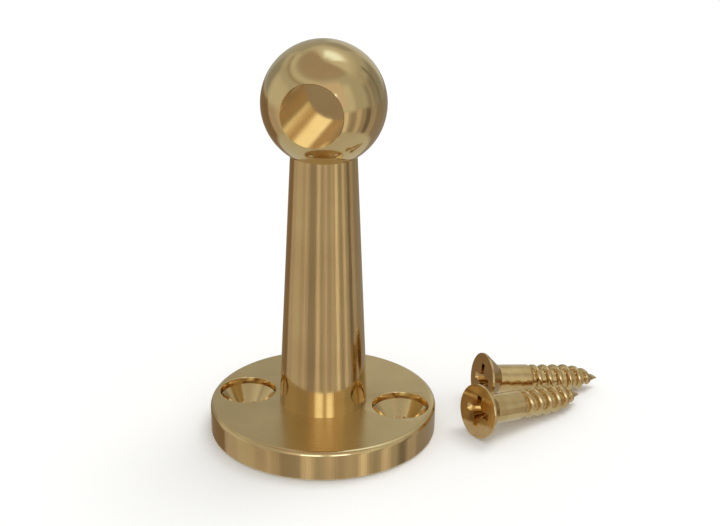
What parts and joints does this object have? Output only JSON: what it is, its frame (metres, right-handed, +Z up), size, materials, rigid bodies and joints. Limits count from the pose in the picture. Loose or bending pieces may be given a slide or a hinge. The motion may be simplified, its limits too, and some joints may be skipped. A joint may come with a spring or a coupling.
{
  "type": "rail end post",
  "caption": "Turned brass post on a round flange, its ball head bored blind for a small rail; fixed by countersunk wood screws, which lie loose beside it.",
  "frame": {"origin": "centre of the round flange's underside, on the mounting surface, midway between the fixing holes", "axes": "+Z up along the post, +X along the line of the fixing holes, -Y out of the rail socket's mouth"},
  "size_m": [0.0532, 0.0358, 0.0543],
  "materials": {
    "polished_brass": "polished, clear lacquered",
    "bright_brass": "bright, as turned and rolled"
  },
  "bodies": {
    "post_assembly": {"base_flange": "polished_brass", "post": "polished_brass", "ball_head": "polished_brass", "ball_stud": "bright_brass", "flange_screw": "bright_brass"},
    "front_screw": {"wood_screw_front": "bright_brass"},
    "rear_screw": {"wood_screw_rear": "bright_brass"}
  },
  "joints": [
    {"name": "front_screw_lift", "type": "slide", "parent": "post_assembly", "child": "front_screw", "axis": [0, 0, 1], "range_m": [0, 0.06]},
    {"name": "rear_screw_lift", "type": "slide", "parent": "post_assembly", "child": "rear_screw", "axis": [0, 0, 1], "range_m": [0, 0.06]}
  ]
}
